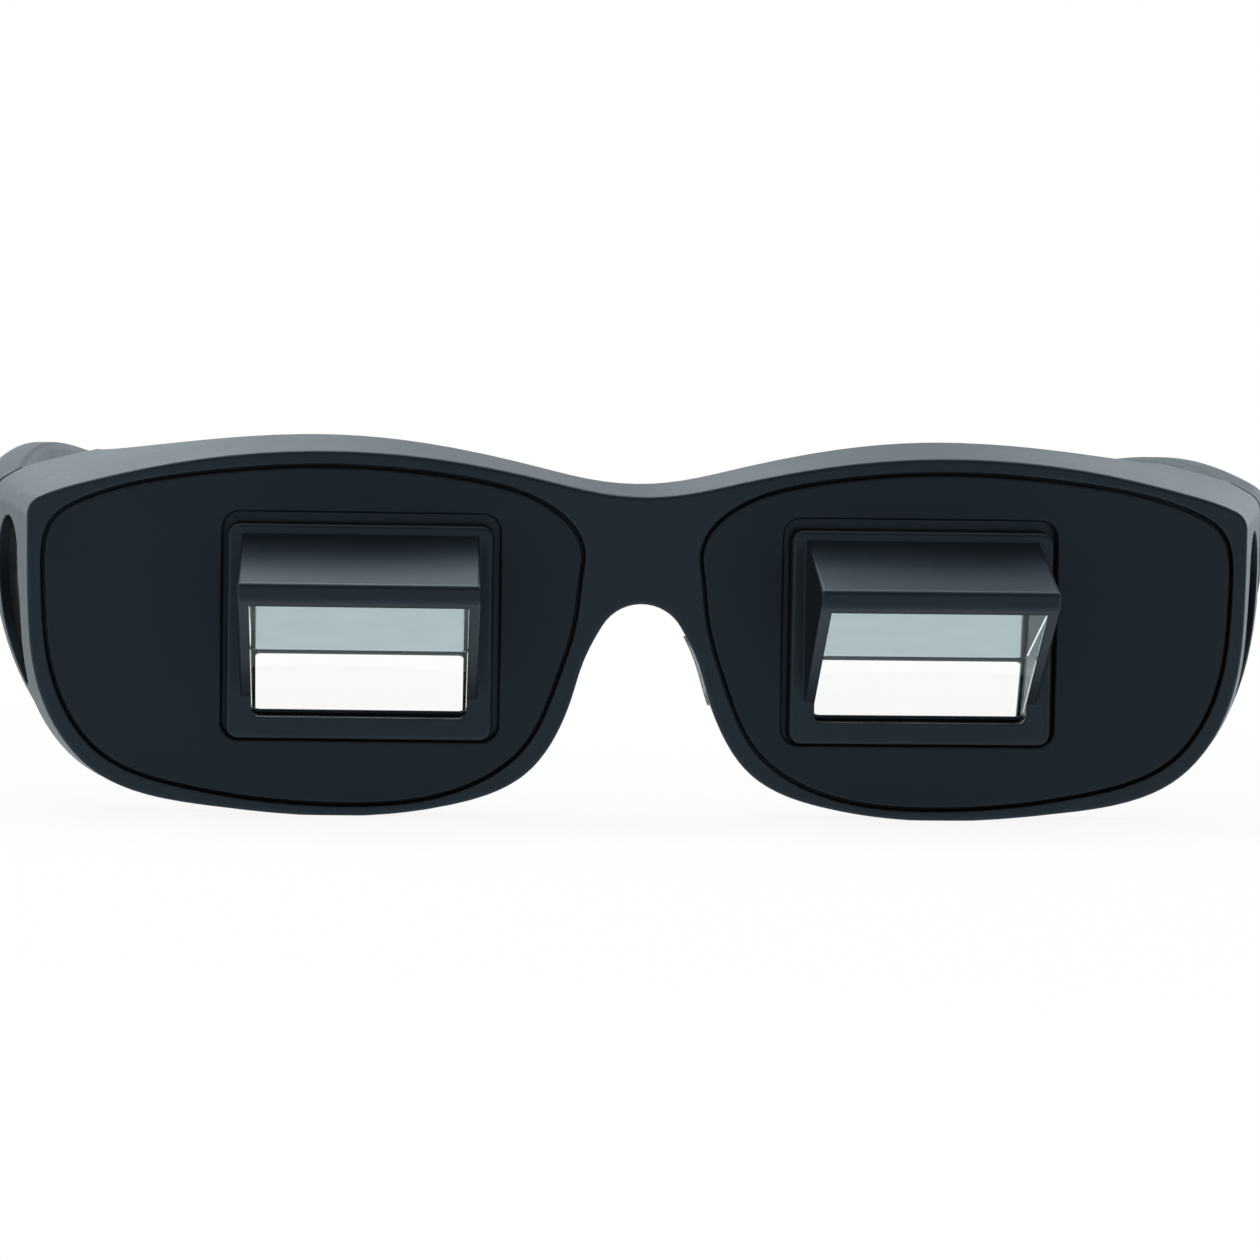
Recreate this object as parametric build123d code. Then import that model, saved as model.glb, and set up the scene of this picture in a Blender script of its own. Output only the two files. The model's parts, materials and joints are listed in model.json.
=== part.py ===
from build123d import *
from math import asin, cos, degrees, radians, sin, sqrt, tan
import os

# Prism bed glasses. While the parts are drawn, +X is the wearer's left, +Y is towards the wearer's
# ears and +Z is up. Y is zero on the face of the bridge, and Z is zero under the rims. At the end
# the whole is centred over its resting plane. All sizes are in millimetres.

# Front: its face lies on an upright cylinder, and its walls flare towards the ears
front_half_width = 70.2
front_height = 41.8
face_radius = 1350.0
side_flare = 15.5
ledge_rise = 5.1
front_wall = 2.2
ridge_break = 0.4
lens_plate_depth = 4.2
rim_depth = 5.6
rest_flat_cut = 0.08
bridge_depth = 12.2
brow_depth = 16.0
return_depth = 16.6
lug_depth = 19.7
lug_width = 7.2
brow_end = 12.0
brow_end_depth = 17.4
lug_length = 4.4
return_below_hinge = 5.0
return_sweep = 2.2
return_drop = 17.4
scarf_taper = 3.4
hinge_gap = 0.4

# Outline of the front from the top of the bridge to the outer corner, then from the corner down
# round the rim and up to the nose arch, as shares of its half width and height
top_shares = [(0, 0.887), (0.16, 0.9285), (0.33, 0.981), (0.527, 1.0), (0.75, 0.965), (0.9, 0.908),
              (0.9815, 0.861)]
rim_shares = [(1.0, 0.811), (0.998, 0.56), (0.979, 0.335), (0.895, 0.122), (0.698, 0.0227),
              (0.477, 0), (0.306, 0.0347), (0.178, 0.134), (0.1125, 0.3325), (0.064, 0.531)]
arch_share = 0.591
corner_share = (0.995, 0.8405)

# Eye panels: plates that close the lens openings, with the same kind of shares
panel_shares = [(0.0997, 0.694), (0.108, 0.78), (0.145, 0.845), (0.282, 0.925), (0.527, 0.956),
                (0.741, 0.928), (0.9046, 0.861), (0.957, 0.804), (0.973, 0.646), (0.947, 0.335),
                (0.883, 0.175), (0.741, 0.079), (0.477, 0.0347), (0.292, 0.0813), (0.191, 0.196),
                (0.141, 0.371), (0.11, 0.55)]
panel_thickness = 1.8
panel_recess = 0.2
panel_groove = 0.35
panel_break = 0.3
panel_rebate = 1.3
seat_clearance = 0.05

# Prism housings: a plinth in the panel's opening, a wedge hood before it and a flange behind it
prism_spacing = 64.5
plinth_width = 30.3
plinth_margin_low = 7.45
plinth_margin_high = 5.2
plinth_stand = 0.8
plinth_round = 1.4
plinth_break = 0.45
housing_depth = 3.6
opening_gap_top = 1.25
opening_gap_nose = 0.8
opening_gap_ear = 0.55
opening_gap_low = 0.15
flange_margin = 1.2
flange_thickness = 1.2
flange_round = 4.0
hood_width = 27.1
hood_reach = 14.8
hood_base_drop = 1.1
hood_fall = 4.9
hood_lip = 1.87
hood_lip_round = 0.6
hood_toe_height = 2.5
hood_toe_sink = 2.7
hood_wall = 1.2
hood_break = 0.35

# Prisms and what holds them
window_width = 24.6
window_round = 1.0
window_top_frame = 1.1
window_low_frame = 0.6
window_recess = 0.5
prism_edge_cover = 0.1
prism_play = 0.08
prism_toe_height = 2.4
prism_rear_inset = 0.05
prism_fall = 2.1
silvering_thickness = 0.2
coat_gap = 0.02
retainer_thickness = 0.8
retainer_inset = 1.1
retainer_round = 1.5
retainer_cover_top = 0.15
retainer_cover = 0.5
retainer_hole_round = 0.6

# Side windows: drop-shaped lenses in the returns, placed back from the face's corner
window_back = 4.9
window_rear = 15.0
window_drop = 8.2
window_height = 20.8
window_bow = 0.9
window_tip_back = 5.2
window_tip_round = 1.1
window_lens = 0.7
window_sink = 1.1
window_gap = 0.15
window_ledge = 0.8

# Nose pads, sunk into the walls of the notch
pad_stand = 0.3
pad_sink = 0.55
pad_drop = 3.9
pad_height = 8.0
pad_front = 3.2
pad_rear = 7.0
pad_round = 1.7

# Hinges: a leaf on the rear of the lug, a leaf on the inside of the temple and a screw between
barrel_radius = 1.5
barrel_height = 6.0
barrel_clearance = 0.05
hinge_drop = 10.2
pivot_back = 1.4
leaf_thickness = 0.8
leaf_offset = 0.6
leaf_length = 7.2
leaf_height = 5.4
leaf_round = 1.2
pivot_radius = 0.6
bore_clearance = 0.03
pivot_head_radius = 1.15
pivot_head_height = 0.5
slot_width = 0.3
slot_depth = 0.25
barrel_pocket = 0.4
leaf_screw_radius = 0.45
leaf_screw_head = 0.85
leaf_screw_sink = 0.4
leaf_screw_length = 2.0
leaf_screw_pitch = 2.4

# Temples
temple_reach = 130.0
temple_thickness = 3.0
temple_tip_thickness = 2.6
temple_height = 10.0
temple_bow = 0.5
widest_back = 10.8
bend_tuck = 5.9
temple_tuck = 9.3
tip_angle = 48.0
root_shoulder = 4.2
hump_back = 40.0
hump_drop = 1.8
straight_length = 92.0
straight_rise = 0.7
straight_slope = 3.3
tip_height = 8.0
temple_edge = 0.8

overrun = 30.0
face_tolerance = 0.02
edge_shares = [0, 0.25, 0.5, 0.75, 1]

flare = tan(radians(side_flare))
rise = tan(radians(ledge_rise))


def face_depth(across):
    # how far back the face lies at this distance from the middle
    return face_radius - sqrt(face_radius ** 2 - across ** 2)


hinge_height = front_height - hinge_drop
return_low_rear = hinge_height - return_below_hinge
return_low_scarf = return_low_rear - return_sweep
return_low_front = return_low_scarf - return_drop
panel_low = min(up for across, up in panel_shares) * front_height
panel_high = max(up for across, up in panel_shares) * front_height
plinth_low = panel_low + plinth_margin_low
plinth_high = panel_high - plinth_margin_high - opening_gap_top
plinth_height = plinth_high - plinth_low
window_top = front_height - window_drop
window_tip = window_top - window_height
pad_high = arch_share * front_height - pad_drop
pad_low = pad_high - pad_height
corner_back = face_depth(front_half_width)
full_height = front_height + overrun
span = front_half_width + overrun


def at_back(depth):
    # upright plane across the glasses, this far behind the face of the bridge
    return Plane.XZ.offset(-depth)


def placed(shares):
    return [(across * front_half_width, up * front_height) for across, up in shares]


def front_outline():
    top = placed(top_shares)
    rim = placed(rim_shares)
    corner = placed([corner_share])[0]
    arch_top = (0, arch_share * front_height)
    arch = ThreePointArc(rim[-1], arch_top, (-rim[-1][0], rim[-1][1]))
    brow = Spline(*top, tangents=[(1, 0), (1, -0.5)])
    shoulder = ThreePointArc(top[-1], corner, rim[0])
    side = Spline(*rim, tangents=[(0, -1), arch % 0])
    half = Curve() + [brow, shoulder, side]
    return make_face(Curve() + [arch, half, mirror(half, Plane.YZ)])


outline = front_outline()


def inset(shape, amount):
    # an outline moved in by this much, with its edges written out as plain splines
    return scale(offset(shape, -amount), (1, 1, 1)) if amount else shape


def hull(depth_in):
    # the flared body of the front, with its walls moved in by this much
    near = inset(outline, depth_in)
    near_depth = -overrun
    far_depth = 2 * overrun
    sections = []
    for depth in (near_depth, far_depth):
        wide = 1 + (depth - corner_back) * flare / front_half_width
        high = 1 + depth * rise / front_height
        sections.append(at_back(depth) * scale(near, (wide, high, 1)))
    return loft(sections, ruled=True)


def face_layer(near, far):
    # what lies between these two depths behind the curved face, over the whole height
    arcs = []
    for depth in (near, far):
        radius = face_radius - depth
        half_turn = asin(span / radius)
        ends = radius * cos(half_turn)
        arcs.append(ThreePointArc((-span, face_radius - ends), (0, depth), (span, face_radius - ends)))
    ends = [Line(arcs[0] @ side, arcs[1] @ side) for side in (0, 1)]
    plan = make_face(Curve() + arcs + ends)
    return Pos(0, 0, -overrun) * extrude(plan, full_height + overrun)


def edges_on_face(body, behind):
    # the edges of a body that lie this far behind the curved face
    def lies_on(edge):
        points = [edge @ share for share in edge_shares]
        return all(abs(point.Y - face_depth(point.X) - behind) < face_tolerance for point in points)
    return body.edges().filter_by(lies_on)


def through(sketch):
    # a sketch in X and Z made a bar that runs through the front
    return extrude(at_back(-overrun) * sketch, -4 * overrun)


def both(name, body, nodes):
    nodes["left_" + name] = body
    nodes["right_" + name] = mirror(body, Plane.YZ)


# Eye panel outline, on the wearer's left

panel_outline = make_face(Spline(*placed(panel_shares), periodic=True))
prism_across = prism_spacing / 2
splay = degrees(asin(prism_across / face_radius))
prism_seat = Pos(prism_across, face_depth(prism_across), 0) * Rot(0, 0, splay)

opening_left = prism_across - plinth_width / 2 - opening_gap_nose
opening_right = prism_across + plinth_width / 2 + opening_gap_ear
opening_low = plinth_low - opening_gap_low
opening_high = plinth_high + opening_gap_top


def rounded_box(left, right, low, high, radius):
    shape = RectangleRounded(right - left, high - low, radius)
    return Pos((left + right) / 2, (low + high) / 2) * shape


panel_opening = rounded_box(opening_left, opening_right, opening_low, opening_high,
                            plinth_round + opening_gap_ear)


def eye_panel():
    plate = face_layer(panel_recess, panel_recess + panel_thickness)
    plate = (plate & through(panel_outline)) - through(panel_opening)
    return fillet(edges_on_face(plate, panel_recess), panel_break)


# Front frame

pocket_depth = panel_recess + panel_thickness + seat_clearance
lug_rear = corner_back + lug_depth
scarf_front = corner_back + return_depth
scarf_outer = front_half_width + return_depth * flare
scarf_inner = scarf_outer - scarf_taper


def scarf(gap):
    # all that lies outside and behind the slanted joint between the lug and the temple
    line = [(scarf_outer + gap, scarf_front + gap), (scarf_inner + gap, lug_rear + gap)]
    slope = (line[0][0] - line[1][0]) / (line[1][1] - line[0][1])
    ahead = (line[0][0] + slope * overrun, line[0][1] - overrun)
    behind = line[1][1] + 2 * temple_reach
    plan = Polyline(ahead, line[1], (0, line[1][1]), (0, behind), (span + overrun, behind),
                    (span + overrun, ahead[1]), close=True)
    return Pos(0, 0, -overrun) * extrude(make_face(plan), full_height + overrun)


def shell_space():
    # the space that the ledge and the returns may fill: their rear edge in plan, and in side view
    # the lower edge of the return, which rises towards the hinge
    rear = Spline((0, bridge_depth), (front_half_width / 2, brow_depth),
                  (front_half_width - brow_end, brow_end_depth),
                  (front_half_width - lug_width, lug_rear), tangents=[(1, 0), (1, 3)])
    half = Curve() + [rear, Polyline(rear @ 1, (span, lug_rear), (span, -overrun), (0, -overrun))]
    plan = make_face(Curve() + [half, mirror(half, Plane.YZ)])
    ledge = Pos(0, 0, -overrun) * extrude(plan, full_height + overrun)
    sweep_up = Spline((corner_back, return_low_front), (scarf_front, return_low_scarf),
                      (lug_rear, return_low_rear), tangents=[(1, 1), (1, 0)])
    line = Polyline(sweep_up @ 1, (2 * overrun, return_low_rear), (2 * overrun, full_height),
                    (-overrun, full_height), (-overrun, return_low_front), sweep_up @ 0)
    side = Plane.YZ.offset(-span) * make_face(Curve() + [sweep_up, line])
    return ledge & extrude(side, 2 * span)


def lug_block():
    # the solid corner under the ledge that carries the hinge leaf
    inner = front_half_width - lug_width
    block = Box(span - inner, lug_length, full_height, align=(Align.MIN, Align.MAX, Align.MIN))
    return Pos(inner, lug_rear, return_low_rear) * block


return_plane = Plane(origin=(front_half_width, corner_back, 0),
                     x_dir=(sin(radians(side_flare)), cos(radians(side_flare)), 0),
                     z_dir=(cos(radians(side_flare)), -sin(radians(side_flare)), 0))


def drop(narrower):
    # drop-shaped outline of the side window, drawn along the return
    crown_radius = (window_rear - window_back) / 2
    crown = ThreePointArc((window_back, window_top - crown_radius),
                          (window_back + crown_radius, window_top),
                          (window_rear, window_top - crown_radius))
    middle = (window_back - window_bow, (window_top + window_tip - crown_radius) / 2)
    front = ThreePointArc(crown @ 0, middle, (window_tip_back, window_tip))
    belly = Spline(crown @ 1, (window_tip_back, window_tip), tangents=[(0, -1), (-1, -1.4)])
    shape = make_face(Curve() + [crown, front, belly])
    shape = fillet(shape.vertices().sort_by(Axis.Y)[0], window_tip_round)
    return inset(shape, narrower)


def drop_bar(narrower):
    return extrude(return_plane * drop(narrower), 2 * front_wall, both=True)


def front_frame():
    outside = hull(0)
    rim = outside & face_layer(0, rim_depth)
    shell = outside & shell_space() & face_layer(0, 2 * overrun)
    hollow = hull(front_wall) & face_layer(lens_plate_depth, 3 * overrun)
    body = rim + shell - hollow
    body = fillet(edges_on_face(body, 0), ridge_break)
    lug = lug_block() & outside
    body = body + [lug, mirror(lug, Plane.YZ)]
    pocket = through(inset(panel_outline, -panel_groove)) & face_layer(-overrun, pocket_depth)
    opening = through(inset(panel_outline, panel_rebate)) & face_layer(-overrun, rim_depth + front_wall)
    window_seat = drop_bar(0) & (hull(-front_wall) - hull(window_sink + window_lens + seat_clearance))
    pad_seat = pad_bar(seat_clearance) - hull(pad_sink + seat_clearance)
    cuts = [scarf(0), pocket, opening, window_seat, drop_bar(window_ledge), pad_seat, barrel_space()]
    for cut in cuts + leaf_screws(front_leaf_place, bore_clearance):
        body -= cut
        body -= mirror(cut, Plane.YZ)
    return body - floor()


def floor():
    low = Align.MAX
    return Pos(0, 0, rest_flat_cut) * Box(9 * span, 9 * span, overrun, align=(Align.CENTER, Align.CENTER, low))


# Side windows and nose pads

def side_window():
    lens = hull(window_sink) - hull(window_sink + window_lens)
    return lens & drop_bar(window_gap)


def pad_bar(larger):
    # a bar across the wall of the notch, with the outline of the nose pad grown by this much
    shape = rounded_box(pad_front - larger, pad_rear + larger, pad_low - larger, pad_high + larger,
                        pad_round + larger)
    return extrude(Plane.YZ * shape, front_half_width / 4)


def nose_pad():
    return (hull(-pad_stand) - hull(pad_sink)) & pad_bar(0)


# Prism housing, in its own place: X across, Y in from the face and Z up

hood_base = (-plinth_stand, plinth_high - hood_base_drop)
lip_top = (hood_base[0] - hood_reach, hood_base[1] - hood_fall)
lip_low = (lip_top[0], lip_top[1] - hood_lip)
toe = (hood_toe_sink - plinth_stand, plinth_low + hood_toe_height)
lip_rear = lip_top[0] + hood_wall
prism_rear = housing_depth - prism_rear_inset
prism_low = plinth_low + prism_toe_height
prism_width = window_width + 2 * prism_edge_cover


def slid(start, end, amount):
    # the line through two points of the side view, moved square to itself, to the left of its way
    way = (Vector(*end) - Vector(*start)).normalized()
    shift = Vector(-way.Y, way.X) * amount
    return Vector(*start) + shift, way


def meet(line, other):
    # where two lines of the side view cross
    start, way = line
    base, along = other
    step = (base - start).cross(along).Z / way.cross(along).Z
    point = start + way * step
    return point.X, point.Y


def upright(across):
    return Vector(across, 0), Vector(0, 1)


def level(up):
    return Vector(0, up), Vector(1, 0)


def block(points, width):
    # a side view carried to both sides by half this width
    return extrude(Plane.YZ * make_face(Polyline(*points, close=True)), width / 2, both=True)


slant = slid(lip_low, toe, window_recess)
prism_front = lip_rear + prism_play
prism_top_front = meet(slant, upright(prism_front))
prism_top_rear = (prism_rear, prism_top_front[1] - prism_fall)


def prism():
    low = level(prism_low)
    points = [prism_top_front, prism_top_rear, meet(low, upright(prism_rear)), meet(low, slant)]
    return block(points, prism_width)


def silvering():
    near = slid(prism_top_front, prism_top_rear, coat_gap)
    far = slid(prism_top_front, prism_top_rear, coat_gap + silvering_thickness)
    front, rear = upright(prism_front), upright(prism_rear)
    points = [meet(near, front), meet(near, rear), meet(far, rear), meet(far, front)]
    return block(points, prism_width)


def hood_cavity():
    # the space under the hood, closed in front by its lip and by the frame round the window
    roof = slid(lip_top, hood_base, -hood_wall)
    face = slid(lip_low, toe, window_recess - prism_play)
    low, front, rear = level(prism_low - prism_play), upright(lip_rear), upright(housing_depth + overrun)
    points = [meet(roof, front), meet(roof, rear), meet(low, rear), meet(low, face), meet(face, front)]
    return block(points, prism_width + 2 * prism_play)


def window_cut():
    # the opening in the slanted face: square above, with rounded corners below
    way = (Vector(0, *toe) - Vector(0, *lip_low)).normalized()
    run = (Vector(0, *toe) - Vector(0, *lip_low)).length
    high = run - window_top_frame - window_low_frame
    middle = Vector(0, *lip_low) + way * (window_top_frame + high / 2)
    face = Plane(origin=middle, x_dir=(1, 0, 0), z_dir=Vector(1, 0, 0).cross(way))
    shape = RectangleRounded(window_width, high, window_round)
    shape += Pos(0, -high / 4) * Rectangle(window_width, high / 2)
    return extrude(face * shape, 2 * window_recess, both=True)


def prism_housing():
    middle = (plinth_low + plinth_high) / 2
    face = RectangleRounded(plinth_width, plinth_height, plinth_round)
    plinth = extrude(Plane.XZ.offset(plinth_stand) * (Pos(0, middle) * face), -plinth_stand - housing_depth)
    plinth = fillet(plinth.faces().sort_by(Axis.Y)[0].edges(), plinth_break)
    ahead = lip_top[0] - overrun
    clear = block([lip_low, toe, (ahead, toe[1]), (ahead, lip_low[1])], window_width)
    side = window_width / 2
    clear = clear & through(rounded_box(-side, side, toe[1], lip_low[1], window_round))
    profile = make_face(Polyline(hood_base, lip_top, lip_low, toe, (toe[0], hood_base[1]), close=True))
    corners = profile.vertices().sort_by(Axis.X)[:2]
    profile = fillet(corners, hood_lip_round)
    hood = extrude(Plane.YZ * profile, hood_width / 2, both=True)
    cheeks = hood.faces().sort_by(Axis.X)
    rims = cheeks[0].edges() + cheeks[-1].edges()
    hood = fillet(rims.filter_by(lambda edge: edge.center().Y < -plinth_stand), hood_break)
    body = prism_seat * (plinth - clear + hood - hood_cavity() - window_cut())
    near = panel_recess + panel_thickness + seat_clearance
    edge = rounded_box(opening_left - flange_margin, opening_right + flange_margin,
                       opening_low - flange_margin, opening_high + flange_margin, flange_round)
    flange = face_layer(near, near + flange_thickness) & through(edge)
    inside = prism_seat * (Pos(0, 0, middle) * Box(hood_width, 4 * housing_depth, plinth_height))
    return body + (flange - inside)


def prism_retainer():
    # a plate behind the prism, with a hole that covers the edges of its rear face
    side = plinth_width / 2 - retainer_inset
    rim = rounded_box(-side, side, plinth_low + retainer_inset, plinth_high - retainer_inset, retainer_round)
    open_side = prism_width / 2 - retainer_cover
    hole = rounded_box(-open_side, open_side, prism_low + retainer_cover,
                       prism_top_rear[1] - retainer_cover_top, retainer_hole_round)
    near = housing_depth + seat_clearance
    return extrude(Plane.XZ.offset(-near) * (rim - hole), -retainer_thickness)


# Hinge: its pivot stands at the inner corner between the lug and the temple. A leaf is drawn with
# the pivot at zero, its plate along +Y and what it is screwed to beyond its +X face

temple_inner = scarf_inner + hinge_gap
pivot_across = temple_inner - leaf_offset
pivot_depth = lug_rear + pivot_back
knuckle = barrel_height / 3
pivot = Pos(pivot_across, pivot_depth, hinge_height)
front_leaf_place = pivot * Rot(0, 0, -90) * Rot(180, 0, 0) * Pos(pivot_back - leaf_thickness, 0, 0)
temple_leaf_place = pivot * Pos(leaf_offset - leaf_thickness, 0, 0)
middle_knuckle = [knuckle]
outer_knuckles = [0, 2 * knuckle]


def barrel_space():
    high = barrel_height + 2 * pivot_head_height + 2 * barrel_pocket
    return pivot * Cylinder(barrel_radius + barrel_pocket, high)


def knuckles(lows, radius, high):
    # parts of the barrel, given by where each third of its height starts
    middles = [low + knuckle / 2 - barrel_height / 2 for low in lows]
    return [Pos(0, 0, middle) * Cylinder(radius, high) for middle in middles]


def leaf(place, own, others):
    reach = leaf_length + leaf_round
    plate = Pos(leaf_length - reach / 2, 0) * RectangleRounded(reach, leaf_height, leaf_round)
    plate -= Pos(-reach / 2, 0) * Rectangle(reach, leaf_height)
    side = Plane(origin=(0, 0, 0), x_dir=(0, 1, 0), z_dir=(1, 0, 0))
    body = place * extrude(side * plate, leaf_thickness)
    for ring in knuckles(others, barrel_radius + 4 * barrel_clearance, knuckle + 8 * barrel_clearance):
        body -= pivot * ring
    for ring in knuckles(own, barrel_radius, knuckle - barrel_clearance):
        body += pivot * ring
    body -= pivot * Cylinder(pivot_radius + bore_clearance, 2 * barrel_height)
    for hole in leaf_screws(place, bore_clearance):
        body -= hole
    return body


def leaf_screws(place, clearance):
    # countersunk screws along a leaf, or their holes where a clearance is given
    screws = []
    seat = (Align.CENTER, Align.CENTER, Align.MIN)
    far = leaf_length - 2 * leaf_screw_head
    for along in (far - leaf_screw_pitch, far):
        head = Cone(leaf_screw_head + clearance, leaf_screw_radius + clearance, leaf_screw_sink, align=seat)
        shank = Cylinder(leaf_screw_radius + clearance, leaf_screw_length + clearance, align=seat)
        screws.append(place * Pos(0, along, 0) * Rot(0, 90, 0) * (head + shank))
    return screws


def leaf_screw_set(place):
    slot = Box(slot_depth * 2, 2 * leaf_screw_head, slot_width)
    far = leaf_length - 2 * leaf_screw_head
    screws = []
    for screw, along in zip(leaf_screws(place, 0), (far - leaf_screw_pitch, far)):
        screws.append(screw - place * Pos(0, along, 0) * slot)
    return Compound(screws)


def hinge_screw():
    shank = Cylinder(pivot_radius, barrel_height)
    head = Pos(0, 0, (barrel_height + pivot_head_height) / 2) * Cylinder(pivot_head_radius, pivot_head_height)
    head = fillet(head.faces().sort_by(Axis.Z)[-1].edges(), slot_depth / 2)
    slot = Pos(0, 0, barrel_height / 2 + pivot_head_height) * Box(2 * pivot_head_radius, slot_width, 2 * slot_depth)
    return pivot * (shank + head - slot)


# Temple: what its plan and its side view have in common

def temple_plan():
    outer_root = (front_half_width + lug_depth * flare, lug_rear)
    start_depth = scarf_front - hinge_gap
    outer_start = (outer_root[0] - (lug_rear - start_depth) * flare + seat_clearance, start_depth)
    straight_end = pivot_depth + straight_length
    tip = pivot_depth + temple_reach + tip_height / 2
    widest = (outer_root[0] + temple_bow, pivot_depth + widest_back)
    bend = (outer_root[0] - bend_tuck, straight_end)
    outer = Spline(outer_root, widest, bend, (outer_root[0] - temple_tuck, tip),
                   tangents=[(flare, 1), (-temple_tuck, temple_reach / 3)])
    root_end = pivot_depth + leaf_length + leaf_round
    inner = Spline((outer_root[0] - temple_tuck - temple_tip_thickness, tip),
                   (bend[0] - temple_thickness, bend[1]), (temple_inner, root_end),
                   tangents=[(temple_tuck, -temple_reach / 3), (0, -1)])
    front = Polyline(inner @ 1, (temple_inner, lug_rear), outer_start, outer_root)
    return make_face(Curve() + [outer, Line(outer @ 1, inner @ 0), inner, front])


def temple_side():
    root = lug_rear + hinge_gap
    straight_end = pivot_depth + straight_length
    straight_middle = hinge_height + straight_rise
    slope = radians(tip_angle)
    tip_middle = Vector(pivot_depth + temple_reach, tip_height / 2)
    along = Vector(cos(slope), -sin(slope))
    across = Vector(sin(slope), cos(slope)) * (tip_height / 2)
    tip_high = tip_middle + across
    tip_low = tip_middle - across
    far_tip = tip_middle + along * (tip_height / 2)
    high = front_height - root_shoulder
    fall = (1, -tan(radians(straight_slope)))
    hump = (pivot_depth + hump_back, front_height - hump_drop)
    end_high = (straight_end, straight_middle + temple_height / 2)
    end_low = (straight_end, straight_middle - temple_height / 2)
    top = Spline((root, high), hump, end_high, tangents=[(1, rise), fall])
    top_bend = Spline(end_high, (tip_high.X, tip_high.Y), tangents=[fall, (along.X, along.Y)])
    end = ThreePointArc(top_bend @ 1, (far_tip.X, far_tip.Y), (tip_low.X, tip_low.Y))
    low_bend = Spline(end @ 1, end_low, tangents=[(-along.X, -along.Y), (-fall[0], -fall[1])])
    low = Spline(end_low, (root, return_low_rear), tangents=[(-fall[0], -fall[1]), (-1, 0)])
    scarf_low = Spline((scarf_front, return_low_scarf), (root, return_low_rear), tangents=[(1, 1), (1, 0)])
    front = Polyline(scarf_low @ 0, (scarf_front, full_height), (root, full_height), (root, high))
    return make_face(Curve() + [top, top_bend, end, low_bend, low, scarf_low, front])


def temple():
    plan = Pos(0, 0, -overrun) * extrude(temple_plan(), full_height + overrun)
    body = plan & extrude(Plane.YZ * temple_side(), span + overrun)
    long_edges = body.edges().filter_by(GeomType.BSPLINE).filter_by_position(
        Axis.Y, pivot_depth + hump_back, 4 * temple_reach)
    body = fillet(long_edges, temple_edge)
    body = body & scarf(hinge_gap)
    near = Pos(0, lug_rear + overrun, 0) * Box(4 * span, 4 * span, 4 * full_height,
                                               align=(Align.CENTER, Align.MAX, Align.CENTER))
    body = (body & near & hull(0)) + (body - near)
    body -= barrel_space()
    for hole in leaf_screws(temple_leaf_place, bore_clearance):
        body -= hole
    return body - floor()


nodes = {}
nodes["front_frame"] = front_frame()
both("eye_panel", eye_panel(), nodes)
both("prism_housing", prism_housing(), nodes)
both("prism", prism_seat * prism(), nodes)
both("prism_silvering", prism_seat * silvering(), nodes)
both("prism_retainer", prism_seat * prism_retainer(), nodes)
both("side_window", side_window(), nodes)
both("nose_pad", nose_pad(), nodes)
both("temple", temple(), nodes)
both("front_hinge_leaf", leaf(front_leaf_place, outer_knuckles, middle_knuckle), nodes)
both("temple_hinge_leaf", leaf(temple_leaf_place, middle_knuckle, outer_knuckles), nodes)
both("hinge_screw", hinge_screw(), nodes)
both("front_leaf_screws", leaf_screw_set(front_leaf_place), nodes)
both("temple_leaf_screws", leaf_screw_set(temple_leaf_place), nodes)

# The whole is centred over the plane that it rests on
box = Compound(list(nodes.values())).bounding_box()
rest = Pos(0, -(box.min.Y + box.max.Y) / 2, -box.min.Z)

if __name__ == "__main__":
    os.makedirs("parts", exist_ok=True)
    for name, body in nodes.items():
        export_step(rest * body, "parts/" + name + ".step")
    print("solids", {name: len(body.solids()) for name, body in nodes.items()})
    print("box", box.size, "moved by", rest.position)
    print("pivot", (rest * pivot).position)
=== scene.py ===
"""Looks of a pair of prism bed glasses, built round their CAD frame.

Each operator makes one piece or one group of like pieces, at the place that the frame gives, with its
finish. The panel in the 3D view's sidebar lists the operators and the sizes and colours behind them.
"""

import json
from math import cos, radians, sin

import bpy
from bpy.props import FloatProperty, FloatVectorProperty, PointerProperty
from mathutils import Matrix, Vector

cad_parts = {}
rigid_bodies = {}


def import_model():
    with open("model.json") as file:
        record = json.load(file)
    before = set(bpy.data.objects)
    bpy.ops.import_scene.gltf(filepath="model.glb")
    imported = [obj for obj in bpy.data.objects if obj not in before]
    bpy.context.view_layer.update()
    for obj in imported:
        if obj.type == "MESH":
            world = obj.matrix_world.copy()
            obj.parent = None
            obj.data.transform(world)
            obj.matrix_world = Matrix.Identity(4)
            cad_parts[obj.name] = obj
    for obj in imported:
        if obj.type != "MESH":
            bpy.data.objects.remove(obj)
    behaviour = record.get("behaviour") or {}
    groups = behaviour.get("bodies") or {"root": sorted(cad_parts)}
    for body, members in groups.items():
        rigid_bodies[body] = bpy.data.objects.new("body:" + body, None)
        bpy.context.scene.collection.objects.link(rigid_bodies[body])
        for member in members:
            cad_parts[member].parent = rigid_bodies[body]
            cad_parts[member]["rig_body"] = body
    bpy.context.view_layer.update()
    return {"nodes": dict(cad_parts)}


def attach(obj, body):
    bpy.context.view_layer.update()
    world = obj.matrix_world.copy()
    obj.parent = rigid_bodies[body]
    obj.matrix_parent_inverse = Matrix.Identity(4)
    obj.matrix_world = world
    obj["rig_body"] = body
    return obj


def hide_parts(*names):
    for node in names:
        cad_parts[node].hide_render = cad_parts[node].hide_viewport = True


bl_info = {
    "name": "Prism Bed Glasses",
    "version": (1, 0, 0),
    "blender": (4, 5, 0),
    "location": "3D View > Sidebar > Glasses",
    "description": "Dresses the frame of prism bed glasses with edges, materials and a studio",
    "category": "Object",
}

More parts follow.
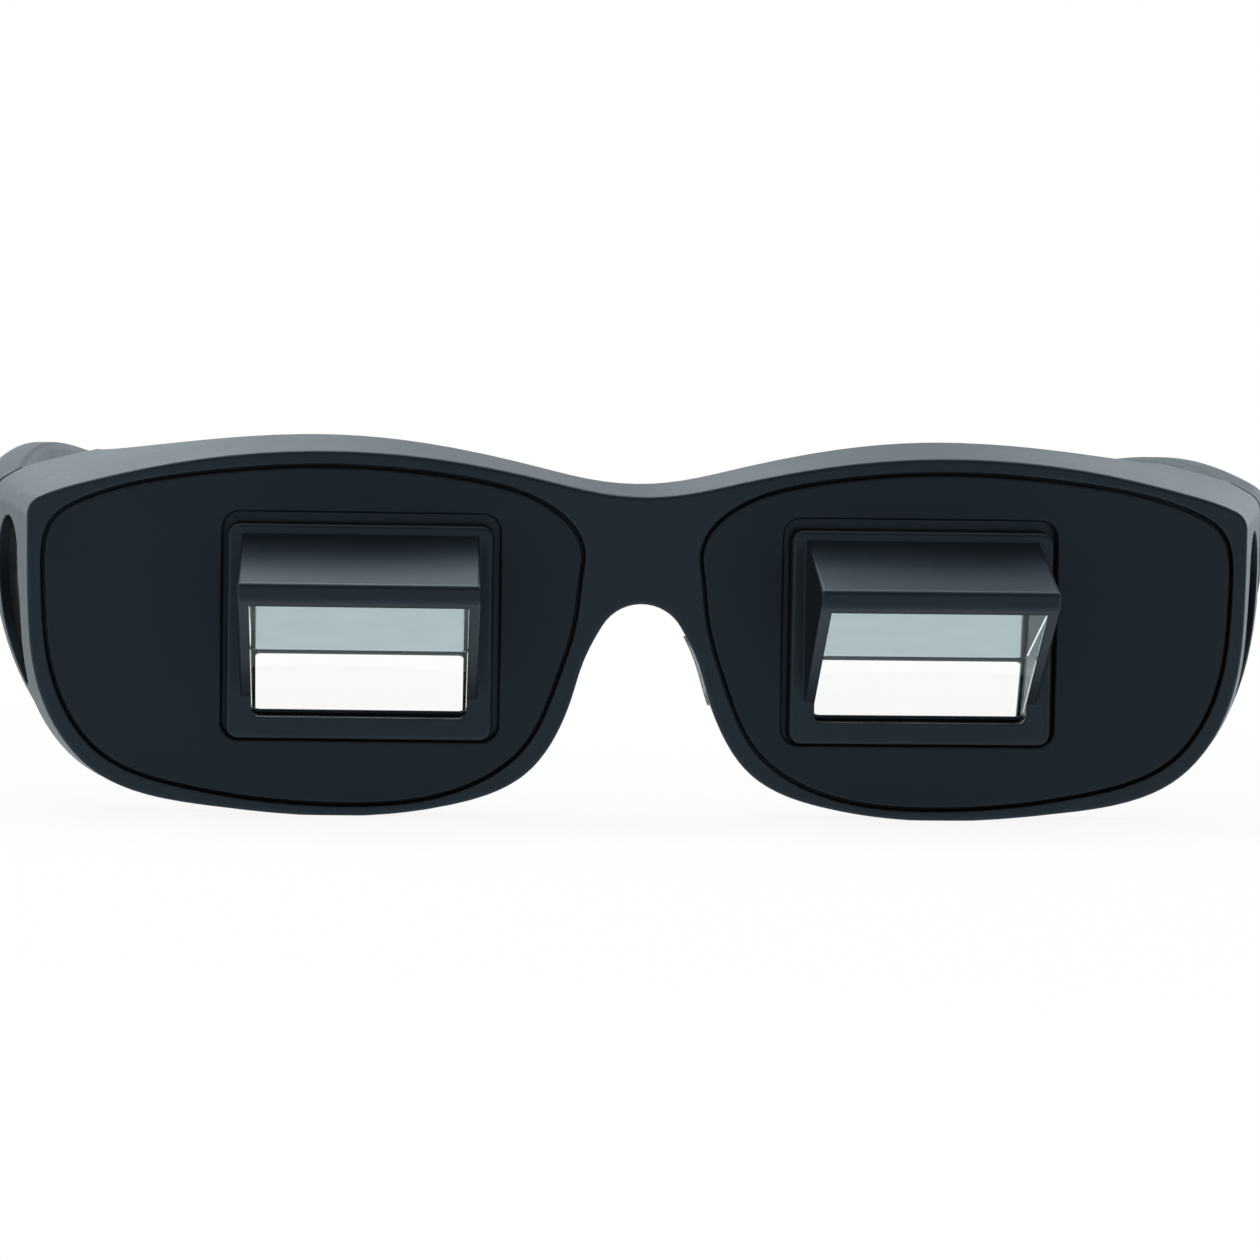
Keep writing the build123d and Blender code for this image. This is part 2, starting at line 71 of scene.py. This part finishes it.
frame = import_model()
SIDES = ("left", "right")

# How strongly each stuff bends light
PLASTIC_INDEX, GROUND_INDEX, GLASS_INDEX, LENS_INDEX, SILICONE_INDEX = 1.5, 1.5, 1.52, 1.49, 1.42

# Turn of the surface, as one less the cosine, where an edge starts to look rubbed and to take its painted
# highlight, and does so fully
EDGE_RUB_AND_HIGHLIGHT_START, EDGE_RUB_AND_HIGHLIGHT_FULL = 0.004, 0.22
ROUNDING_SAMPLES = 6

# Meshes: points nearer than this are one, faces flatter than this are one, and the edges that are rounded
MERGE_DISTANCE = 1e-6
FLAT_ANGLE = radians(0.2)
CORNER_ANGLE = radians(28)
SMOOTH_ANGLE = radians(32)
FACING = 0.9

# The floor, and what the gloss shows behind the glasses: where its brightness rises, dips and levels out
FLOOR_RADIUS, FLOOR_CORNERS, FLOOR_GREY = 12.0, 96, 0.93
FLOOR_NEAR_LIFT = 0.9
BEHIND_START, BEHIND_FULL = -0.35, 0.45
DIP_MIDDLE, DIP_REACH, DIP_RISE = 0.095, 0.2, 2.35

# Name, place and width of each lamp; its power is the studio's value of the same name
LAMPS = (("overhead", (0.0, 0.05, 0.75), 0.9),
         ("back", (-0.12, 0.34, 0.8), 0.5),
         ("fill", (-0.6, -0.68, 0.4), 0.6))


# Sizes and colours


def length(name, text, value):
    return FloatProperty(name=name, description=text, default=value, min=0.0, unit="LENGTH", precision=5)


def share(name, text, value, high=1.0):
    return FloatProperty(name=name, description=text, default=value, min=0.0, max=high, subtype="FACTOR")


def colour(name, text, value):
    return FloatVectorProperty(name=name, description=text, default=value, size=3, min=0.0, max=1.0,
                               subtype="COLOR")


class GLASSES_PG_body(bpy.types.PropertyGroup):
    """The front, the temples and the eye panels"""
    ridge: length("Ridge", "Radius of the front's moulded edges", 0.00035)
    temple_edge: length("Temple edge", "Radius of the temples' edges", 0.0007)
    panel_edge: length("Panel edge", "Radius of the panels' edges", 0.0002)
    plastic: colour("Plastic", "Body colour of the black moulding", (0.0046, 0.0072, 0.0098))
    panel: colour("Panel", "Body colour of the eye panels", (0.0040, 0.0062, 0.0086))
    sheen_tint: colour("Gloss tint", "Tint of the plastic's reflections", (0.66, 0.84, 1.0))
    satin: share("Satin", "Roughness of the front", 0.36)
    temple_satin: share("Temple satin", "Roughness of the temples", 0.42)
    panel_satin: share("Panel satin", "Roughness of the eye panels", 0.42)
    grain: length("Grain", "Size of the mould's etched grain", 0.00016)


class GLASSES_PG_housing(bpy.types.PropertyGroup):
    """The prism housings and their retainers"""
    edge: length("Edge", "Radius of the housing's edges", 0.0003)
    plastic: colour("Plastic", "Body colour of the housings", (0.0044, 0.0070, 0.0095))
    retainer: colour("Retainer", "Body colour of the retainers", (0.012, 0.012, 0.013))
    satin: share("Satin", "Roughness of the housings", 0.33)


class GLASSES_PG_optics(bpy.types.PropertyGroup):
    """Prisms, silvering and side windows"""
    arris: length("Arris", "Width of the chamfer along the prism's edges", 0.00016)
    glass: colour("Glass", "Tint of the prism glass", (0.985, 1.0, 1.0))
    coated: colour("Coating", "What the coating leaves of the glass's reflections", (0.25, 0.28, 0.3))
    ground: colour("Ground glass", "Colour of the prism's ground side faces", (0.84, 0.93, 0.96))
    silver: colour("Silvering", "Colour of the silvered face", (0.482, 0.532, 0.525))
    smoke: colour("Smoke", "Tint of the side windows", (0.05, 0.054, 0.06))
    window_edge: length("Window edge", "Radius of the side windows' edges", 0.0002)


class GLASSES_PG_fittings(bpy.types.PropertyGroup):
    """Nose pads, hinges and screws"""
    pad_edge: length("Pad edge", "Radius of the nose pads' edges", 0.0003)
    pad: colour("Nose pad", "Tint of the clear nose pads", (0.86, 0.89, 0.9))
    steel: colour("Steel", "Colour of the hinges and screws", (0.52, 0.52, 0.53))
    brushing: share("Brushing", "Roughness of the steel", 0.3)


class GLASSES_PG_studio(bpy.types.PropertyGroup):
    """Camera, lamps and floor"""
    azimuth: FloatProperty(name="Azimuth", description="Turn of the camera round the glasses",
                           default=radians(-3.88), subtype="ANGLE")
    elevation: FloatProperty(name="Elevation", description="Height of the camera above the horizon",
                             default=radians(4.0), subtype="ANGLE")
    roll: FloatProperty(name="Roll", description="Turn of the picture about the line of sight",
                        default=radians(0.92), subtype="ANGLE")
    distance: length("Distance", "From the camera to the point it looks at", 0.6)
    picture_width: length("Picture width", "Width that the picture shows at that point", 0.14438)
    aim_across: FloatProperty(name="Aim across", description="Place of that point across the glasses",
                              default=-0.00133, unit="LENGTH", precision=5)
    aim_height: length("Aim height", "Height of that point above the floor", 0.02171)
    bridge_depth: FloatProperty(name="Bridge", description="Where the face of the bridge lies in depth",
                                default=-0.0707, unit="LENGTH", precision=5)
    sky: share("Sky", "Strength of the light from all round", 0.6, 2.0)
    room: share("Room", "Brightness of the darker room behind the camera, as the gloss shows it", 0.2)
    cool: colour("Cool light", "Tone of the lamps and of the soft light that the gloss shows",
                 (0.85, 0.95, 1.0))
    overhead: FloatProperty(name="Overhead", description="Power of the lamp above", default=2.2, min=0.0)
    back: FloatProperty(name="Back", description="Power of the lamp behind, to the left", default=2.0,
                        min=0.0)
    fill: FloatProperty(name="Fill", description="Power of the lamp in front", default=0.8, min=0.0)
    dip: share("Dip", "How much darker the middle of the gloss's surroundings is than plain", 0.36)
    floor_clear: length("Clear floor", "Where the floor's shadows have faded out, from the middle", 0.3)


GROUPS = {"body": GLASSES_PG_body, "housing": GLASSES_PG_housing, "optics": GLASSES_PG_optics,
          "fittings": GLASSES_PG_fittings, "studio": GLASSES_PG_studio}


def sizes(group):
    return getattr(bpy.context.scene, "glasses_" + group)


# Shader maths


class Signal:
    """A number in a shader. An expression on it adds the Math nodes that work it out."""

    def __init__(self, tree, socket):
        self.tree = tree
        self.socket = socket

    def _maths(self, operation, *terms):
        node = self.tree.nodes.new("ShaderNodeMath")
        node.operation = operation
        for place, term in enumerate(terms):
            plug(self.tree, node.inputs[place], term)
        return Signal(self.tree, node.outputs[0])

    def __add__(self, other):
        return self._maths("ADD", self, other)

    __radd__ = __add__

    def __sub__(self, other):
        return self._maths("SUBTRACT", self, other)

    def __rsub__(self, other):
        return self._maths("SUBTRACT", other, self)

    def __mul__(self, other):
        return self._maths("MULTIPLY", self, other)

    __rmul__ = __mul__

    def __truediv__(self, other):
        return self._maths("DIVIDE", self, other)

    def within(self, low, high):
        """0 below low, 1 above high and an even climb between"""
        climb = (self - low) / (high - low)
        return climb._maths("MINIMUM", climb._maths("MAXIMUM", climb, 0.0), 1.0)

    def at_most(self, other):
        return self._maths("MINIMUM", self, other)

    def at_least(self, other):
        return self._maths("MAXIMUM", self, other)


def plug(tree, socket, value):
    """Sets a socket to a number or a colour, or links a signal or another node's socket to it"""
    if isinstance(value, Signal):
        tree.links.new(value.socket, socket)
    elif isinstance(value, bpy.types.NodeSocket):
        tree.links.new(value, socket)
    elif hasattr(value, "__len__") and socket.type == "RGBA" and len(value) == 3:
        socket.default_value = (*value, 1.0)
    else:
        socket.default_value = value


class Finish:
    """A procedural finish: a material or a world, and the nodes that it is worked out with"""

    def __init__(self, name, owner=None):
        self.owner = owner or bpy.data.materials.new(name)
        self.owner.use_nodes = True
        self.tree = self.owner.node_tree
        self.tree.nodes.clear()

    def node(self, kind, settings=None, **values):
        """Adds a node. Its settings come first, then its inputs, written with _ for a space"""
        node = self.tree.nodes.new(kind)
        for name, value in (settings or {}).items():
            setattr(node, name, value)
        for name, value in values.items():
            key = int(name[1:]) if name[0] == "i" and name[1:].isdigit() else name.replace("_", " ")
            plug(self.tree, node.inputs[key], value)
        return node

    def signal(self, node, output=0):
        return Signal(self.tree, node.outputs[output])

    def here(self):
        """The point on the piece, in its own metres"""
        return self.node("ShaderNodeTexCoord").outputs["Object"]

    def cloudy(self, size, detail=2.0, stretch=None):
        """Soft noise whose lumps are about this big, in metres"""
        place = self.here()
        if stretch:
            place = self.node("ShaderNodeMapping", Vector=place, Scale=stretch).outputs[0]
        noise = self.node("ShaderNodeTexNoise", Vector=place, Scale=1.0 / size, Detail=detail)
        return self.signal(noise, "Fac")

    def blend(self, amount, first, second):
        """A colour between two"""
        mix = self.node("ShaderNodeMix", {"data_type": "RGBA"})
        plug(self.tree, mix.inputs[0], amount)
        plug(self.tree, mix.inputs[6], first)
        plug(self.tree, mix.inputs[7], second)
        return mix.outputs[2]

    def rounded(self, radius):
        """The normal as if edges had this radius"""
        return self.node("ShaderNodeBevel", {"samples": ROUNDING_SAMPLES}, Radius=radius).outputs[0]

    def edge_turn(self, radius):
        """0 on flat faces, up to 1 where the surface turns within this radius"""
        soft = self.rounded(radius)
        flat = self.node("ShaderNodeNewGeometry").outputs["Normal"]
        dot = self.node("ShaderNodeVectorMath", {"operation": "DOT_PRODUCT"}, i0=soft, i1=flat)
        return (1.0 - self.signal(dot, "Value")).within(EDGE_RUB_AND_HIGHLIGHT_START, EDGE_RUB_AND_HIGHLIGHT_FULL)

    def relief(self, height, depth, strength=1.0, normal=None):
        bump = self.node("ShaderNodeBump", Height=height, Distance=depth, Strength=strength)
        if normal is not None:
            plug(self.tree, bump.inputs["Normal"], normal)
        return bump.outputs[0]

    def surface(self, shader):
        kind = "World" if isinstance(self.owner, bpy.types.World) else "Material"
        self.node("ShaderNodeOutput" + kind, Surface=shader.outputs[0])
        return self.owner

    def principled(self, **values):
        return self.surface(self.node("ShaderNodeBsdfPrincipled", **values))


def moulded_plastic(name, body_colour, satin, edge, grain, tint, gloss=0.42):
    """Black moulded plastic: an etched grain, a faint cloudy sheen painted into its colour, and edges rubbed a
    little smoother, their colour lightened as a painted edge highlight
    """
    finish = Finish(name)
    # Broad cloudy patches: they vary the roughness, and in the colour they paint a faint sheen
    flow_and_painted_sheen = finish.cloudy(0.018, 3.0)
    etch = finish.cloudy(grain, 3.0)
    scuff = finish.cloudy(0.0009, 4.0, (1.0, 1.0, 0.25))
    # Turned edges: rubbed a little smoother, and lightened in colour as a painted edge highlight
    rub_and_painted_highlight = finish.edge_turn(edge * 1.6)
    lighter = [min(1.0, part * 1.9 + 0.004) for part in body_colour]
    dust = (etch.within(0.62, 0.8) * scuff.within(0.5, 0.75)) * 0.35
    # The colour takes a painted edge highlight, a painted cloudy sheen and real dust marks
    base = finish.blend((rub_and_painted_highlight * 0.35 + dust + flow_and_painted_sheen.within(0.35, 0.8) * 0.2).at_most(1.0), body_colour, lighter)
    rough = satin + (flow_and_painted_sheen - 0.5) * 0.12 + (scuff - 0.5) * 0.08 - rub_and_painted_highlight * 0.06
    normal = finish.relief(etch, grain * 0.09, 0.45, finish.rounded(edge))
    return finish.principled(Base_Color=base, Roughness=rough, Normal=normal, IOR=PLASTIC_INDEX,
                             Specular_IOR_Level=gloss, Specular_Tint=tint)


def polished_glass(name, tint, coated):
    """Clear optical glass, polished and coated against reflections, with a trace of haze from handling"""
    finish = Finish(name)
    haze = finish.cloudy(0.004, 3.0)
    rough = haze.within(0.55, 0.85) * 0.012
    base = finish.blend(haze.within(0.4, 0.9) * 0.25, tint, [part * 0.985 for part in tint])
    return finish.principled(Base_Color=base, Roughness=rough, IOR=GLASS_INDEX, Transmission_Weight=1.0,
                             Specular_Tint=coated)


def ground_glass(name, body_colour):
    """The matt side faces of a prism, ground and left unpolished"""
    finish = Finish(name)
    pits = finish.cloudy(0.00025, 4.0)
    swirl = finish.cloudy(0.002, 2.0)
    base = finish.blend(pits.within(0.3, 0.7), [part * 0.8 for part in body_colour], body_colour)
    return finish.principled(Base_Color=base, Roughness=0.5 + swirl * 0.2, IOR=GROUND_INDEX,
                             Transmission_Weight=0.25, Normal=finish.relief(pits, 0.00003, 0.6))


def silvered(name, body_colour):
    """The mirror coat on the prism's hidden face"""
    finish = Finish(name)
    clouds = finish.cloudy(0.006, 3.0)
    base = finish.blend(clouds.within(0.35, 0.7), [part * 0.93 for part in body_colour], body_colour)
    return finish.principled(Base_Color=base, Metallic=1.0, Roughness=0.04 + clouds * 0.05)


def smoked_lens(name, tint, edge):
    """Smoke-tinted clear plastic, polished, with fine wiping marks"""
    finish = Finish(name)
    wipes = finish.cloudy(0.0006, 4.0, (1.0, 0.2, 1.0))
    base = finish.blend(wipes.within(0.5, 0.9) * 0.3, tint, [min(1.0, part * 1.5) for part in tint])
    return finish.principled(Base_Color=base, Roughness=0.05 + wipes * 0.06, IOR=LENS_INDEX,
                             Transmission_Weight=0.75, Normal=finish.rounded(edge))


def clear_silicone(name, tint, edge):
    """Soft clear nose pads, slightly matt from the skin"""
    finish = Finish(name)
    bloom = finish.cloudy(0.0012, 3.0)
    base = finish.blend(bloom, [part * 0.93 for part in tint], tint)
    return finish.principled(Base_Color=base, Roughness=0.16 + bloom * 0.14, IOR=SILICONE_INDEX,
                             Transmission_Weight=0.85, Normal=finish.rounded(edge))


def brushed_steel(name, body_colour, brushing, along):
    """Stamped steel with fine brushing along one direction and a darker tone in its pits"""
    finish = Finish(name)
    hairs = finish.cloudy(0.00012, 3.0, along)
    stain = finish.cloudy(0.0015, 3.0)
    base = finish.blend(hairs.within(0.3, 0.7), [part * 0.78 for part in body_colour], body_colour)
    rough = brushing + (hairs - 0.5) * 0.2 + stain * 0.12
    normal = finish.relief(hairs, 0.000008, 0.5, finish.rounded(0.0001))
    return finish.principled(Base_Color=base, Metallic=1.0, Roughness=rough, Normal=normal)


# Modelling


def nothing_selected():
    if bpy.context.object and bpy.context.object.mode != "OBJECT":
        bpy.ops.object.mode_set(mode="OBJECT")
    bpy.ops.object.select_all(action="DESELECT")


def only(piece):
    nothing_selected()
    piece.select_set(True)
    bpy.context.view_layer.objects.active = piece


def copied(node):
    """A copy of a CAD node's mesh as a piece of its own, its loose triangles merged to whole faces"""
    piece = bpy.data.objects.new("worked_" + node, frame["nodes"][node].data.copy())
    bpy.context.scene.collection.objects.link(piece)
    piece.data.materials.clear()
    only(piece)
    bpy.ops.mesh.customdata_custom_splitnormals_clear()
    bpy.ops.object.mode_set(mode="EDIT")
    bpy.ops.mesh.select_all(action="SELECT")
    bpy.ops.mesh.remove_doubles(threshold=MERGE_DISTANCE)
    bpy.ops.mesh.dissolve_limited(angle_limit=FLAT_ANGLE)
    bpy.ops.object.mode_set(mode="OBJECT")
    return piece


def edged(piece, width):
    """Chamfers every edge that turns by more than the corner angle"""
    only(piece)
    bevel = piece.modifiers.new("edges", "BEVEL")
    bevel.limit_method = "ANGLE"
    bevel.angle_limit = CORNER_ANGLE
    bevel.width = width
    bevel.segments = 1
    bevel.miter_outer = "MITER_ARC"
    bpy.ops.object.modifier_apply(modifier="edges")
    bpy.ops.object.shade_smooth_by_angle(angle=SMOOTH_ANGLE)
    return piece


def body_of_node(node):
    return frame["nodes"][node]["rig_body"]


def placed(piece, node):
    """The worked piece takes the CAD node's place"""
    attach(piece, body_of_node(node))
    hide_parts(node)
    return piece


def painted(node, material):
    """The CAD node itself shows, with this finish"""
    slots = frame["nodes"][node].material_slots
    if slots:
        slots[0].material = material
    else:
        frame["nodes"][node].data.materials.append(material)


def both(name):
    return [side + "_" + name for side in SIDES]


class PieceOperator:
    bl_options = {"REGISTER", "UNDO"}

    def execute(self, context):
        nothing_selected()
        self.make()
        nothing_selected()
        return {"FINISHED"}


class GLASSES_OT_front(PieceOperator, bpy.types.Operator):
    """Front moulding and temples, with their edges rounded as moulded"""
    bl_idname = "glasses.front"
    bl_label = "Front and temples"

    def make(self):
        body = sizes("body")
        plastic = moulded_plastic("satin black moulding", body.plastic, body.satin, body.ridge, body.grain,
                                  body.sheen_tint)
        painted("front_frame", plastic)
        limb = moulded_plastic("satin black temple", body.plastic, body.temple_satin, body.temple_edge,
                               body.grain, body.sheen_tint)
        for node in both("temple"):
            painted(node, limb)


class GLASSES_OT_panels(PieceOperator, bpy.types.Operator):
    """Blank eye panels that close the lens openings"""
    bl_idname = "glasses.panels"
    bl_label = "Eye panels"

    def make(self):
        body = sizes("body")
        plate = moulded_plastic("satin black plate", body.panel, body.panel_satin, body.panel_edge,
                                body.grain, body.sheen_tint, 0.34)
        for node in both("eye_panel"):
            painted(node, plate)


class GLASSES_OT_housings(PieceOperator, bpy.types.Operator):
    """Hooded prism housings and the retainers behind them"""
    bl_idname = "glasses.housings"
    bl_label = "Prism housings"

    def make(self):
        housing = sizes("housing")
        body = sizes("body")
        shell = moulded_plastic("satin black housing", housing.plastic, housing.satin, housing.edge,
                                body.grain, body.sheen_tint)
        cap = moulded_plastic("matt black retainer", housing.retainer, 0.5, housing.edge, body.grain,
                              body.sheen_tint, 0.3)
        for node in both("prism_housing"):
            painted(node, shell)
        for node in both("prism_retainer"):
            painted(node, cap)


class GLASSES_OT_prisms(PieceOperator, bpy.types.Operator):
    """Glass prisms with chamfered arrises and ground sides, and their silvering"""
    bl_idname = "glasses.prisms"
    bl_label = "Prisms"

    def make(self):
        optics = sizes("optics")
        clear = polished_glass("polished prism glass", optics.glass, optics.coated)
        ground = ground_glass("ground prism side", optics.ground)
        coat = silvered("prism silvering", optics.silver)
        for side in SIDES:
            node = side + "_prism"
            piece = edged(copied(node), optics.arris)
            for material in (clear, ground, coat):
                piece.data.materials.append(material)
            for face in piece.data.polygons:
                face.use_smooth = False
                ground_side, silvered_top = abs(face.normal.x) > FACING, face.normal.z > FACING
                face.material_index = 1 if ground_side else 2 if silvered_top else 0
            placed(piece, node).name = side + "_prism_glass"
            painted(side + "_prism_silvering", coat)


class GLASSES_OT_side_windows(PieceOperator, bpy.types.Operator):
    """Drop-shaped smoke windows in the returns"""
    bl_idname = "glasses.side_windows"
    bl_label = "Side windows"

    def make(self):
        optics = sizes("optics")
        lens = smoked_lens("smoke side window", optics.smoke, optics.window_edge)
        for node in both("side_window"):
            painted(node, lens)


class GLASSES_OT_nose_pads(PieceOperator, bpy.types.Operator):
    """Clear nose pads on the walls of the notch"""
    bl_idname = "glasses.nose_pads"
    bl_label = "Nose pads"

    def make(self):
        fittings = sizes("fittings")
        clear = clear_silicone("clear nose pad", fittings.pad, fittings.pad_edge)
        for node in both("nose_pad"):
            painted(node, clear)


class GLASSES_OT_hinges(PieceOperator, bpy.types.Operator):
    """Steel hinge leaves and their screws"""
    bl_idname = "glasses.hinges"
    bl_label = "Hinges and screws"

    def make(self):
        fittings = sizes("fittings")
        across = brushed_steel("brushed steel leaf", fittings.steel, fittings.brushing, (0.1, 0.1, 1.0))
        turned = brushed_steel("turned steel screw", fittings.steel, fittings.brushing * 0.8, (1.0, 1.0, 1.0))
        for name in ("front_hinge_leaf", "temple_hinge_leaf"):
            for node in both(name):
                painted(node, across)
        for name in ("hinge_screw", "front_leaf_screws", "temple_leaf_screws"):
            for node in both(name):
                painted(node, turned)


class GLASSES_OT_stage(PieceOperator, bpy.types.Operator):
    """Plain pale floor, soft lamps and the camera"""
    bl_idname = "glasses.stage"
    bl_label = "Floor, lamps and camera"

    def make(self):
        studio = sizes("studio")
        self.floor(studio)
        self.world(studio)
        self.lamps(studio)
        self.camera(studio)
        bpy.context.scene.view_settings.view_transform = "Standard"

    @staticmethod
    def seen(finish):
        """1 for rays from the camera, off a gloss or through glass"""
        path = finish.node("ShaderNodeLightPath")
        return (finish.signal(path, "Is Camera Ray") + finish.signal(path, "Is Glossy Ray")
                + finish.signal(path, "Is Transmission Ray")).at_most(1.0)

    def floor(self, studio):
        bpy.ops.mesh.primitive_circle_add(vertices=FLOOR_CORNERS, radius=FLOOR_RADIUS, fill_type="NGON",
                                          location=(0, 0, 0))
        floor = bpy.context.object
        floor.name = "pale_floor"
        finish = Finish("pale floor")
        away = finish.node("ShaderNodeVectorMath", {"operation": "LENGTH"}, i0=finish.here())
        far = finish.signal(away, "Value").within(studio.floor_clear * 0.55, studio.floor_clear)
        matt = finish.node("ShaderNodeBsdfDiffuse", Color=(FLOOR_GREY,) * 3)
        shiny = finish.signal(finish.node("ShaderNodeLightPath"), "Is Glossy Ray")
        tone = finish.blend(shiny, (1.0, 1.0, 1.0), studio.cool)
        white = finish.node("ShaderNodeEmission", Color=tone, Strength=1.0)
        lift = far * (1.0 - FLOOR_NEAR_LIFT) + FLOOR_NEAR_LIFT
        lift = self.seen(finish) * lift
        mixed = finish.node("ShaderNodeMixShader", Fac=lift, i1=matt.outputs[0], i2=white.outputs[0])
        floor.data.materials.append(finish.surface(mixed))

    def world(self, studio):
        world = bpy.data.worlds.new("studio")
        bpy.context.scene.world = world
        finish = Finish("studio", world)
        path = finish.node("ShaderNodeLightPath")
        looking = finish.node("ShaderNodeTexCoord").outputs["Generated"]
        way = finish.node("ShaderNodeSeparateXYZ", Vector=looking)
        behind = finish.signal(way, "Y").within(BEHIND_START, BEHIND_FULL)
        across = finish.signal(way, "X") - DIP_MIDDLE
        beside = across.at_least(across * -1.0).within(0.0, DIP_REACH)
        dipped = 1.0 - studio.dip + beside * studio.dip * DIP_RISE
        gloss = (behind * (1.0 - studio.room) + studio.room) * dipped
        clear = (finish.signal(path, "Is Camera Ray") + finish.signal(path, "Is Transmission Ray")).at_most(1.0)
        shiny = finish.signal(path, "Is Glossy Ray") * (1.0 - clear)
        strength = clear + shiny * gloss + (1.0 - clear - shiny) * studio.sky
        tone = finish.blend(shiny, (1.0, 1.0, 1.0), studio.cool)
        finish.surface(finish.node("ShaderNodeBackground", Color=tone, Strength=strength))

    def lamps(self, studio):
        middle = Vector((0.0, studio.bridge_depth, 0.02))
        for name, place, width in LAMPS:
            light = bpy.data.lights.new(name, "AREA")
            light.shape = "SQUARE"
            light.size = width
            light.energy = getattr(studio, name)
            light.color = studio.cool
            lamp = bpy.data.objects.new(name, light)
            bpy.context.scene.collection.objects.link(lamp)
            lamp.location = Vector(place)
            lamp.rotation_mode = "QUATERNION"
            lamp.rotation_quaternion = (middle - lamp.location).to_track_quat("-Z", "Y")

    def camera(self, studio):
        turn, rise, roll = studio.azimuth, studio.elevation, studio.roll
        sight = Vector((-sin(turn) * cos(rise), cos(turn) * cos(rise), -sin(rise)))
        right = Vector((cos(turn), sin(turn), 0.0))
        up = right.cross(sight)
        across = right * cos(roll) + up * sin(roll)
        upright = up * cos(roll) - right * sin(roll)
        aim = Vector((studio.aim_across, studio.bridge_depth, studio.aim_height))
        data = bpy.data.cameras.new("front view")
        camera = bpy.data.objects.new("front view", data)
        bpy.context.scene.collection.objects.link(camera)
        data.sensor_width = 36.0
        data.lens = data.sensor_width * studio.distance / studio.picture_width
        data.clip_start, data.clip_end = 0.05, 60.0
        turned = Matrix((across, upright, -sight)).transposed().to_4x4()
        camera.matrix_world = Matrix.Translation(aim - sight * studio.distance) @ turned
        bpy.context.scene.camera = camera


OPERATORS = (GLASSES_OT_front, GLASSES_OT_panels, GLASSES_OT_housings, GLASSES_OT_prisms,
             GLASSES_OT_side_windows, GLASSES_OT_nose_pads, GLASSES_OT_hinges, GLASSES_OT_stage)


class GLASSES_PT_sidebar(bpy.types.Panel):
    """The pieces of the glasses and the sizes and colours behind them"""
    bl_idname = "GLASSES_PT_sidebar"
    bl_label = "Prism bed glasses"
    bl_space_type = "VIEW_3D"
    bl_region_type = "UI"
    bl_category = "Glasses"

    def draw(self, context):
        for operator in OPERATORS:
            self.layout.operator(operator.bl_idname)
        for group in GROUPS:
            box = self.layout.box()
            box.label(text=group.capitalize())
            for name in GROUPS[group].__annotations__:
                box.prop(sizes(group), name)


def register():
    for group, kind in GROUPS.items():
        bpy.utils.register_class(kind)
        setattr(bpy.types.Scene, "glasses_" + group, PointerProperty(type=kind))
    for kind in (*OPERATORS, GLASSES_PT_sidebar):
        bpy.utils.register_class(kind)


def unregister():
    for kind in (GLASSES_PT_sidebar, *reversed(OPERATORS)):
        bpy.utils.unregister_class(kind)
    for group, kind in GROUPS.items():
        delattr(bpy.types.Scene, "glasses_" + group)
        bpy.utils.unregister_class(kind)


def main():
    register()
    for make in (bpy.ops.glasses.front, bpy.ops.glasses.panels, bpy.ops.glasses.housings,
                 bpy.ops.glasses.prisms, bpy.ops.glasses.side_windows, bpy.ops.glasses.nose_pads,
                 bpy.ops.glasses.hinges, bpy.ops.glasses.stage):
        make()


if __name__ == "__main__":
    main()
